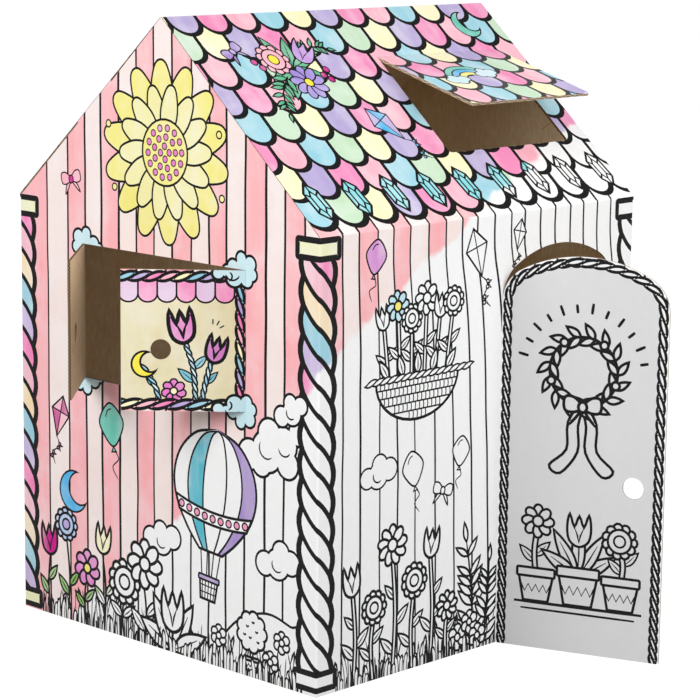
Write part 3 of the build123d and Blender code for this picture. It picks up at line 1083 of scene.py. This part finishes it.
def gable_print():
    s = Stamp([])
    planks(s, GABLE_PLANKS, 0, RIDGE, STRIPES)
    column(s, FOLD_RADIUS - HALF_DEPTH - QUARTER / 2, 0, EAVE + 2)
    dahlia(s.stamp(10, 967, 4), 174, YELLOW, dye("F3EDB0"), YELLOW, ORCHID, 4.4)
    for h, v in ((-150, 1010), (-133, 890), (158, 1012), (166, 895)):
        s.dot(7, 12, h, v, YELLOW, 3)
    bow(s.stamp(-262, 893, 12), 44, ROSE, MAGENTA, 2.8)
    kite(s.stamp(-300, 424, -14), 74, (MAGENTA, ROSE), 4.0)
    balloon(s.stamp(-146, 420, 8), 82, SEA_GREEN, 4.0)
    moon(s.stamp(-262, 268, 24), 42, BLUE, 4.0)
    corner_clouds(s, -WINDOW_LEFT, WINDOW_RIGHT, WINDOW_SILL, WINDOW_SILL + WINDOW_HEIGHT)
    hill = smooth([(100, -20), (150, 40), (215, 105), (290, 132), (352, 120), (372, 110), (372, -20)])
    s.draw(hill, BARE, 5)
    cloud(s.stamp(288, 440), [(0, 0, 40), (44, 20, 34), (-46, -12, 30), (80, 46, 24), (6, 34, 30),
                              (54, -16, 28), (-14, -24, 26)], BARE, 5.5,
          ((0, 6, 20, 150, 160), (46, 14, 16, 190, 140)))
    cloud(s.stamp(318, 232), [(0, 0, 30), (34, 8, 24), (-34, -4, 24), (8, 24, 22)], BARE, 5.0,
          ((0, 0, 15, 160, 150),))
    cloud(s.stamp(0, 216), [(0, 0, 28), (30, 12, 24), (-32, 2, 22), (-4, 20, 20)], BARE, 5.0,
          ((0, 0, 14, 160, 150),))
    air_balloon(s.stamp(148, 346, -5), 112, (BARE, TEAL_TOUCH, BARE, BARE, LILAC_TOUCH), (BARE, ROSE_TOUCH),
                (BARE, LILAC_TOUCH), 5.4)
    column(s, HALF_DEPTH - FOLD_RADIUS + QUARTER / 2 + COLUMN_SHIFT, 4, EAVE + 2)
    cloud(s.stamp(352, 522), [(0, 0, 24), (-26, -10, 20), (22, 16, 18), (-4, 18, 17)], BARE, 5.0,
          ((-2, 0, 12, 160, 150),))
    grass(s, -360, 366, 72, 6.0, 2.3)
    for path, leaves, paint in (
            ([(-338, 0), (-342, 70), (-336, 128)], ((0.35, 35, 46, 18), (0.5, -38, 44, 17)), LEAF_GREEN),
            ([(-282, 0), (-276, 90), (-286, 176)], ((0.3, 40, 50, 18), (0.42, -40, 46, 17)), LEAF_GREEN),
            ([(-226, 0), (-230, 60), (-222, 106)], ((0.3, 45, 42, 16), (0.45, -45, 42, 16)), LEAF_GREEN),
            ([(-170, 0), (-166, 90), (-176, 160)], ((0.3, 42, 50, 18), (0.48, -42, 46, 17)), LEAF_GREEN),
            ([(-112, 0), (-116, 50), (-106, 92)], ((0.4, 52, 46, 18), (0.4, -52, 46, 18)), BARE),
            ([(-50, 0), (-46, 70), (-56, 132)], ((0.25, 45, 60, 22), (0.4, -45, 56, 20)), BARE)):
        stalk(s, path, leaves, paint, 5.4)
    tulip(s.stamp(-336, 124, 4), 64, MAGENTA, 6.4)
    pompom(s.stamp(-286, 196), 33, dye("B9CBEA"), LILAC, 5.4)
    daisy(s.stamp(-222, 118), 7, 11, 38, ORCHID, BRIGHT_YELLOW, 5.8)
    tulip(s.stamp(-176, 156, -6), 60, CREAM, 5.8)
    pompom(s.stamp(-110, 112), 44, BARE, BARE, 6.6)
    daisy(s.stamp(-50, 160), 8, 15, 50, BARE, BARE, 6.6)
    for turn, length in ((62, 104), (28, 116), (-30, 116), (-64, 104)):
        leaf(s.stamp(30, 4, turn), length, 38, BARE, 6.2)
    tulip(s.stamp(30, 40), 84, BARE, 7.0)
    bush(s.stamp(250, 12), 38, BARE, 5.6)
    for h, v in ((160, 62), (330, 84), (300, 40)):
        daisy(s.stamp(h, v), 6, 7, 22, BARE, BARE, 4.4)
    grass(s, -360, 366, 38, 9.0, 3.4)
    return s.shapes


def front_print():
    s = Stamp([])
    planks(s, FRONT_PLANKS, 0, EAVE + 10, STRIPES, 4.5, front_bend)
    column(s, HALF_LENGTH - FOLD_RADIUS + QUARTER / 2, 4, EAVE + 2)
    kite(s.stamp(-28, 792, 16), 84, (BARE, BARE), 4.2)
    kite(s.stamp(98, 812, -12), 52, (BARE, BARE), 3.6)
    balloon(s.stamp(-305, 800, -10), 62, dye("D58BD0"), 3.6)
    basket_of_flowers(s.stamp(-188, 566), 226, 4.5)
    cloud(s.stamp(-292, 392), [(0, 0, 26), (30, 8, 22), (-28, -2, 20), (4, 20, 20)], BARE, 3.8,
          ((0, 0, 13, 160, 150),))
    balloon(s.stamp(-196, 388, 10), 66, BARE, 3.8)
    bow(s.stamp(-112, 334, -14), 42, BARE, BARE, 3.4)
    balloon(s.stamp(-62, 402, -8), 56, BARE, 3.6)
    grass(s, -395, 50, 72, 6.0, 2.3)
    for path, leaves in (
            ([(-352, 0), (-348, 90), (-356, 176)],
             ((0.3, 45, 52, 19), (0.45, -45, 50, 18), (0.62, 45, 40, 15))),
            ([(-300, 0), (-306, 70), (-298, 128)], ((0.35, 48, 46, 17), (0.5, -48, 44, 16))),
            ([(-246, 0), (-240, 120), (-250, 238)],
             ((0.25, 45, 52, 19), (0.4, -45, 50, 18), (0.6, 42, 42, 16))),
            ([(-192, 0), (-196, 80), (-188, 160)], ((0.3, 48, 48, 18), (0.5, -48, 44, 17))),
            ([(-140, 0), (-136, 110), (-144, 212)],
             ((0.3, 45, 50, 18), (0.45, -45, 48, 17), (0.65, -42, 40, 15))),
            ([(-96, 0), (-98, 50), (-94, 92)], ((0.4, 48, 40, 15), (0.5, -48, 38, 14)))):
        stalk(s, path, leaves, BARE, 5.2, 8.5)
    for h, v, turn, kind, size in (
            (-356, 172, 6, tulip, 60), (-298, 140, 0, pompom, 32), (-250, 252, 0, daisy, 40),
            (-188, 172, -4, pompom, 34), (-144, 208, -6, tulip, 58), (-94, 104, 0, daisy, 30)):
        bloom(s.stamp(h, v, turn), kind, size, BARE, BARE, 5.8 if kind is tulip else 5.6, 9, 0.32)
    twig(s, [(-24, 0), (-22, 110), (-40, 220)], 8, 66, 20, BARE, 4.8)
    twig(s, [(14, 0), (22, 90), (28, 170)], 7, 54, 17, BARE, 4.8)
    for h, v, size in ((-62, 34, 27), (-28, 58, 24), (-4, 26, 25)):
        daisy(s.stamp(h, v), 6, size * 0.3, size, BARE, BARE, 4.8)
    grass(s, -395, 50, 38, 9.0, 3.4)
    grass(s, 386, 400, 50, 6.0, 1.9)
    column(s, FOLD_RADIUS - HALF_LENGTH - QUARTER / 2 + COLUMN_SHIFT, 4, EAVE + 2)
    return s.shapes


def slope_print():
    s = Stamp([])
    planks(s, FRONT_PLANKS, -SLOPE - 10, -SLOPE + 90, STRIPES)
    tiles(s)
    gems(s, 6, GEM)
    spray = s.stamp(-216, -152, 0)
    for turn, length in ((20, 92), (-18, 86), (62, 74), (-66, 88),
                         (-112, 82), (150, 92), (112, 78), (-152, 74)):
        leaf(spray.stamp(0, 0, turn), length, 27, GREEN, 3.4)
    twig(spray, [(-30, -20), (-72, -62), (-92, -112)], 6, 40, 14, GREEN, 3.2)
    twig(spray, [(34, 22), (84, 52), (124, 46)], 6, 36, 13, GREEN, 3.2)
    pompom(spray.stamp(-34, 26), 38, ROSE, BRIGHT_YELLOW, 3.4)
    tulip(spray.stamp(34, 14, -38), 66, dye("C49BDD"), 3.4)
    daisy(spray.stamp(14, -38), 9, 11, 44, dye("A892DA"), BRIGHT_YELLOW, 3.2)
    for h, v in ((66, -22), (82, -8), (78, -34), (-76, 6), (-88, 22)):
        spray.dot(8, 10, h, v, MAGENTA, 2.8)
    bow(s.stamp(-338, -100, 30), 46, dye("A78BCB"), LILAC, 3.2)
    kite(s.stamp(-92, -300, 28), 84, (BLUE, LILAC), 3.2)
    moon(s.stamp(352, -62, 30), 36, SEA_GREEN, 3.2)
    return s.shapes


def hatch_print():
    s = Stamp([])
    tiles(s, -HATCH_MIDDLE, HATCH_DROP)
    turn = np.radians(np.linspace(15, 165, 20))
    rainbow = s.stamp(-34, -150, 12)
    for reach, paint in ((74, SEA_GREEN), (58, BLUE), (42, YELLOW)):
        inner = reach - 16
        rainbow.draw(np.concatenate([arc(turn, reach, reach), arc(turn, inner, inner)[::-1]]), paint, 3.2)
    cloud(rainbow.stamp(52, 16), [(0, 0, 20), (20, 4, 15), (-18, 2, 14), (2, 14, 14)], SKY, 3.4)
    cloud(rainbow.stamp(-54, 16), [(0, 0, 20), (20, 2, 14), (-18, 4, 15), (-2, 14, 14)], SKY, 3.4)
    return s.shapes


def door_print():
    """A field in a light grey of painted shade, framed by a rope. The wall's planks show in the margin round
    it.
    """
    s = Stamp([])
    margin_foot, inset = 640, 12.0
    lines = [u - DOOR_SETBACK for u in FRONT_LINES if u > DOOR_SETBACK]
    planks(s, lines, margin_foot, DOOR_SPRING + DOOR_RISE + 5, BARE_PAINTS, 4.0)
    over = arch(inset)
    sides = np.linspace(-8, DOOR_SPRING - 20, 24)
    s.fill(np.concatenate([[(inset, -8)], [(DOOR_WIDTH - inset, -8)], over]), DOOR_SHADE_GREY)
    half_way = int(len(over) * 0.5)
    for h, curve, width, pitch, last_pitch in ((inset, over[:half_way - 1:-1], 20, 21, 26),
                                               (DOOR_WIDTH - inset, over[:half_way + 1], 20.5, 18.5, 28)):
        path = np.concatenate([[(h, v) for v in sides], curve])
        rope(s, path, width, pitch, (ROPE_GREY,), 6.0, 1.0, 0, last_pitch)
    upper = s.stamp(168, 556)
    wreath(upper, 68, 5.6, DOOR_SHADE_GREY)
    rays(upper, [(114, 131), (114, 135)] * 6, [12 + k * 14.2 for k in range(12)], 6.0)
    s.bar((38, 92), (298, 92), 6, 8, 0.8)
    s.bar((52, 79), (284, 79), 4.4, 8, 0.8)
    left, middle, right = (s.stamp(h, 95) for h in (82, 168, 254))
    stalk(left, [(0, 50), (-4, 100), (2, 148)], ((0.3, 45, 44, 17), (0.45, -45, 44, 17)), DOOR_SHADE_GREY, 4.4, 9.5)
    daisy(left.stamp(2, 160), 8, 11, 33, DOOR_SHADE_GREY, DOOR_SHADE_GREY, 5.0)
    flower_pot(left, 70, 66, DOOR_SHADE_GREY, 5.4)
    for turn in (-58, -30, 0, 30, 58):
        leaf(middle.stamp(0, 58, turn), 118 - abs(turn) * 0.5, 26, DOOR_SHADE_GREY, 5.0)
    tulip(middle.stamp(0, 118), 64, DOOR_SHADE_GREY, 5.2)
    flower_pot(middle, 78, 76, DOOR_SHADE_GREY, 5.4)
    stalk(right, [(0, 50), (4, 90), (-4, 126)], ((0.35, 45, 42, 16), (0.5, -45, 42, 16)), DOOR_SHADE_GREY, 4.4, 9.5)
    pompom(right.stamp(-4, 138), 34, DOOR_SHADE_GREY, DOOR_SHADE_GREY, 5.0)
    flower_pot(right, 70, 66, DOOR_SHADE_GREY, 5.4)
    return s.shapes


def shutter_print(mirror):
    """Drawn for the shutter on the right, crease at h = 0 and free edge at the left.

    The wall's planks show in the margin round the rope.
    """
    s = Stamp([], mirror=mirror)
    wide, tall = WINDOW_WIDTH / 2, WINDOW_HEIGHT
    crease = HALF_DEPTH - (-WINDOW_LEFT if mirror else WINDOW_RIGHT)
    near = [crease - u for u in GABLE_LINES if abs(crease - u) > 8]
    planks(Stamp(s.shapes), near, 0, tall, STRIPES if mirror else STRIPES[::-1], 4.6)
    s.fill(slab(-wide - 5, -6, 7, tall - 7), SHUTTER_CREAM)
    scallop, top, turn = 35.4, tall - 12, np.linspace(-pi, 0, 11)
    for k in range(7):
        left = -wide - 3 + k * scallop
        cup = arc(turn, scallop / 2, 15, (left + scallop / 2, tall - 46))
        cloth = np.concatenate([[(left, top)], cup, [(left + scallop, top)]])
        s.draw(cloth, VALANCE_PINK if k % 2 else VALANCE_LILAC, 3.4)
    for path, leaves in (([(-92, 22), (-96, 80), (-112, 132)], ((0.3, 50, 40, 15), (0.5, -45, 36, 14))),
                         ([(-80, 22), (-72, 60), (-62, 96)], ((0.45, -45, 32, 12),)),
                         ([(-160, 22), (-166, 46), (-180, 70)], ((0.5, 40, 28, 11),))):
        stalk(s, path, leaves, TEAL, 3.2)
        rope(s, smooth(path), 13, 14, (SKY, AQUA), 3.4)
    tulip(s.stamp(-113, 128, 8), 62, ORCHID, 7.6)
    tulip(s.stamp(-60, 92, -14), 50, dye("C862B8"), 6.4)
    moon(s.stamp(-186, 88, 20), 24, BRIGHT_YELLOW, 4.0)
    rays(s.stamp(-60, 150), [(14, 24)] * 3, (30, 60, 90), 2.6)
    daisy(s.stamp(-132, 38), 7, 7, 23, ORCHID, CREAM, 3.2)
    rope(s, np.linspace((-wide - 8, tall - 13), (8, tall - 13), 12), 24, 26, ROPE_PAINTS, 6.2, first=4)
    rope(s, np.linspace((-10, tall + 4), (-10, -4), 12), 21, 27, ROPE_PAINTS, 6.0, first=3)
    rope(s, np.linspace((-wide - 8, 13), (8, 13), 12), 25, 32, ROPE_PAINTS[::-1], 6.8, first=4)
    for v, up in ((tall, 1), (0, -1)):
        corner_cloud(s.stamp(0, v), up, ((-24, -6 * up, 13, 190, 150), (-34, -12 * up, 9, 60, -130)))
    return s.shapes


def bare_wall(half, height, lines):
    """A wall out of the photo's sight: the same planks and columns, all bare."""
    s = Stamp([])
    planks(s, lines, 0, height, BARE_PAINTS)
    for side in (-1, 1):
        column(s, side * (half - FOLD_RADIUS + QUARTER / 2), 4, EAVE + 2, paints=BARE_PAINTS)
    grass(s, 66 - half, half - 66, 58, 6.0, 1.9)
    grass(s, 66 - half, half - 66, 36, 9.0, 1.9)
    return s.shapes


def bare_slope():
    s = Stamp([])
    planks(s, FRONT_PLANKS, -SLOPE - 10, -SLOPE + 90, BARE_PAINTS)
    tiles(s, 0.0, 0.0, BARE_PAINTS)
    gems(s, -6, BARE)
    return s.shapes


gable_edge = marker_edge([(-450, -372, 552), (-450, 100, 142)], (0, -1, -1))
front_edge = marker_edge([(-371, -420, 650), (-77, -420, 838)], (1, 0, -1), ragged=20.0)


def slope_point(h, s):
    return Vector((h, -s * cp, RIDGE - s * sp))


slope_edge = marker_edge([slope_point(13, 540), slope_point(431, 350)], (1, -cp, -sp))
GABLE_PRINT = printed_finish("gable_print", (0, 0, 1), (0, 1, 0), gable_edge)
FRONT_PRINT = printed_finish("front_print", (0, 0, 1), (1, 0, 0), front_edge)
SLOPE_PRINT = printed_finish("roof_print", (0, -cp, -sp), (1, 0, 0), slope_edge)
PLAIN_PRINT = printed_finish("plain_print", (0, 0, 1), (0.7, 0.7, 0))

door_opening = np.concatenate([[(DOOR_WIDTH, -5)], arch(), [(0, -5)]]) + (DOOR_LEFT, 0)
window = slab(-WINDOW_LEFT, WINDOW_RIGHT, WINDOW_SILL, WINDOW_SILL + WINDOW_HEIGHT)
hatch_opening = slab(HATCH_MIDDLE - HATCH_WIDTH / 2, HATCH_MIDDLE + HATCH_WIDTH / 2,
                     -HATCH_DROP - HATCH_REACH, -HATCH_DROP, HATCH_CORNER, ("bl", "br"))
slope = slab(-HALF_LENGTH, HALF_LENGTH, -SLOPE + EAVE_SETBACK, -RIDGE_SETBACK + BEND * RIDGE_TURN)
g = CUT_GAP
door_leaf = np.concatenate([[(DOOR_WIDTH - g, DOOR_FOOT)], arch(g), [(g, DOOR_FOOT)]])
door_leaf[0, 1] = door_leaf[-1, 1] = g
hole = ring(DOOR_HOLE / 2, 32, 1, (DOOR_WIDTH - DOOR_HOLE_INSET, DOOR_HOLE_HEIGHT))

rear_slope = slab(-HALF_LENGTH, HALF_LENGTH, -SLOPE + EAVE_SETBACK, -RIDGE_SETBACK)
for side, place, outline, openings, shapes, finish in (
        ("gable", GABLE, gable_outline(), [window], gable_print(), GABLE_PRINT),
        ("front", FRONT, wall_outline(), [door_opening], front_print(), FRONT_PRINT),
        ("front_slope", FRONT_SLOPE, slope, [hatch_opening], slope_print(), SLOPE_PRINT),
        ("rear", REAR, wall_outline(), [], bare_wall(HALF_LENGTH, EAVE + 10, FRONT_PLANKS), PLAIN_PRINT),
        ("far_gable", FAR_GABLE, gable_outline(), [],
         bare_wall(HALF_DEPTH, RIDGE, GABLE_PLANKS), PLAIN_PRINT),
        ("rear_slope", REAR_SLOPE, rear_slope, [], bare_slope(), PLAIN_PRINT)):
    print_liner(side + "_liner", place, outline, openings, shapes, BARE, "house", finish)
print_liner("door_liner", DOOR, door_leaf, [hole], door_print(), BARE, "door", PLAIN_PRINT)
half_window = WINDOW_WIDTH / 2
shutter_hole = ring(SHUTTER_HOLE / 2, 32, 1, (half_window - SHUTTER_HOLE_INSET, SHUTTER_HOLE_RISE))
for body, place, side, mirror in (("right_shutter", RIGHT_SHUTTER, -1, False),
                                  ("left_shutter", LEFT_SHUTTER, 1, True)):
    ends = sorted((side * g, side * (half_window - g)))
    print_liner(body + "_liner", place, slab(*ends, g, WINDOW_HEIGHT - g), [shutter_hole * (side, 1)],
                shutter_print(mirror), SHUTTER_CREAM, body, PLAIN_PRINT)
hatch_leaf = slab(g - HATCH_WIDTH / 2, HATCH_WIDTH / 2 - g, g - HATCH_REACH, -g, HATCH_CORNER, ("bl", "br"))
print_liner("hatch_liner", HATCH, hatch_leaf, [], hatch_print(),
            BARE, "roof_hatch", SLOPE_PRINT)

house_places = (GABLE, FAR_GABLE, FRONT, REAR, FRONT_SLOPE, REAR_SLOPE)
# The house's and shutters' cut edges: painted shade in the gaps between the flutes, and flute paper darker
# than the kraft inside, which is painted shade on edges that lie in shade.
SHADED_EDGE_BROWN = ("4E3A2A", "A78661")          # a cut edge's gaps and the paper of its flutes
# In each pair the first colour, in the gaps between the flutes, is painted shade.
for node, name, places, cut in (
        ("house", "house_kraft", house_places, SHADED_EDGE_BROWN),
        ("door", "door_kraft", [DOOR], ("A79C90", "E4DFD8")),
        ("right_shutter", "right_shutter_kraft", [RIGHT_SHUTTER], SHADED_EDGE_BROWN),
        ("left_shutter", "left_shutter_kraft", [LEFT_SHUTTER], SHADED_EDGE_BROWN),
        ("roof_hatch", "hatch_kraft", [HATCH], ("8A7258", "D9C9B2"))):
    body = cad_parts[node]
    body.data.materials.clear()
    body.data.materials.append(board_finish(name, places, *cut))

# Floor, light and camera

FLOOR_GREY, FLOOR_GLOW = 0.22, 0.89   # the floor's colour under the lamps and its own light
DOME, SEEN_BACKGROUND = 0.52, 1.0     # light from all round, and what the camera sees there


def studio_finish():
    f = Finish("studio_floor")
    f.set("Base Color", (FLOOR_GREY, FLOOR_GREY, FLOOR_GREY))
    f.set("Roughness", 0.9)
    f.set("Specular IOR Level", 0.0)
    ray = f.tree.nodes.new("ShaderNodeLightPath")
    seen = Value(f, ray.outputs["Is Camera Ray"])
    for kind in ("Is Glossy Ray", "Is Transmission Ray"):
        seen = seen.most(Value(f, ray.outputs[kind]))
    glow = f.tree.nodes.new("ShaderNodeEmission")
    glow.inputs["Color"].default_value = (1, 1, 1, 1)
    f.tree.links.new((seen * FLOOR_GLOW).socket, glow.inputs["Strength"])
    both = f.tree.nodes.new("ShaderNodeAddShader")
    f.tree.links.new(f.shader.outputs[0], both.inputs[0])
    f.tree.links.new(glow.outputs[0], both.inputs[1])
    f.tree.links.new(both.outputs[0], f.output.inputs["Surface"])
    return f.material


floor_mesh = bmesh.new()
bmesh.ops.create_circle(floor_mesh, cap_ends=True, segments=64, radius=30.0)
bmesh.ops.translate(floor_mesh, verts=floor_mesh.verts, vec=(0, 0, -0.0005))
floor = piece("studio_floor", floor_mesh, studio_finish())

world = bpy.data.worlds.new("studio")
scene.world = world
world.use_nodes = True
sky = world.node_tree
sky.nodes.clear()
ray = sky.nodes.new("ShaderNodeLightPath")


def background(strength):
    node = sky.nodes.new("ShaderNodeBackground")
    node.inputs["Color"].default_value = (1, 1, 1, 1)
    node.inputs["Strength"].default_value = strength
    return node


seen = background(SEEN_BACKGROUND)
dome = background(DOME)
pick = sky.nodes.new("ShaderNodeMixShader")
result = sky.nodes.new("ShaderNodeOutputWorld")
sky.links.new(ray.outputs["Is Camera Ray"], pick.inputs[0])
sky.links.new(dome.outputs[0], pick.inputs[1])
sky.links.new(seen.outputs[0], pick.inputs[2])
sky.links.new(pick.outputs[0], result.inputs["Surface"])


def lamp(name, place, target, size, power):
    light = bpy.data.lights.new(name, "AREA")
    light.shape = "DISK"
    light.size = size
    light.energy = power
    body = added(name, light)
    body.location = place
    body.rotation_euler = (Vector(target) - Vector(place)).to_track_quat("-Z", "Y").to_euler()


lamp("key_lamp", (0.2, -3.0, 1.9), (0, 0, 0.7), 2.0, 54)
lamp("side_lamp", (-3.9, -0.3, 2.6), (0, 0, 0.8), 2.6, 118)
lamp("back_lamp", (3.4, 3.4, 2.4), (0, 0, 0.7), 3.2, 165)

FOCAL_PIXELS, PICTURE_PIXELS, SENSOR = 2592.7, 700, 36
camera_data = bpy.data.cameras.new("camera")
camera = added("camera", camera_data)
camera_data.sensor_width = SENSOR
camera_data.lens = FOCAL_PIXELS / PICTURE_PIXELS * SENSOR
camera.location = (-3.6942, -3.6118, 1.4986)
azimuth, elevation, roll = radians(-46.158), radians(10.577), radians(0.669)
back = Vector((sin(azimuth) * cos(elevation), -cos(azimuth) * cos(elevation), sin(elevation)))
right = Vector((0, 0, 1)).cross(back).normalized()
up = back.cross(right)
level_right = right * cos(roll) + up * sin(roll)
level_up = up * cos(roll) - right * sin(roll)
camera.rotation_euler = Matrix((level_right, level_up, back)).transposed().to_euler()
scene.camera = camera
scene.view_settings.view_transform = "Standard"
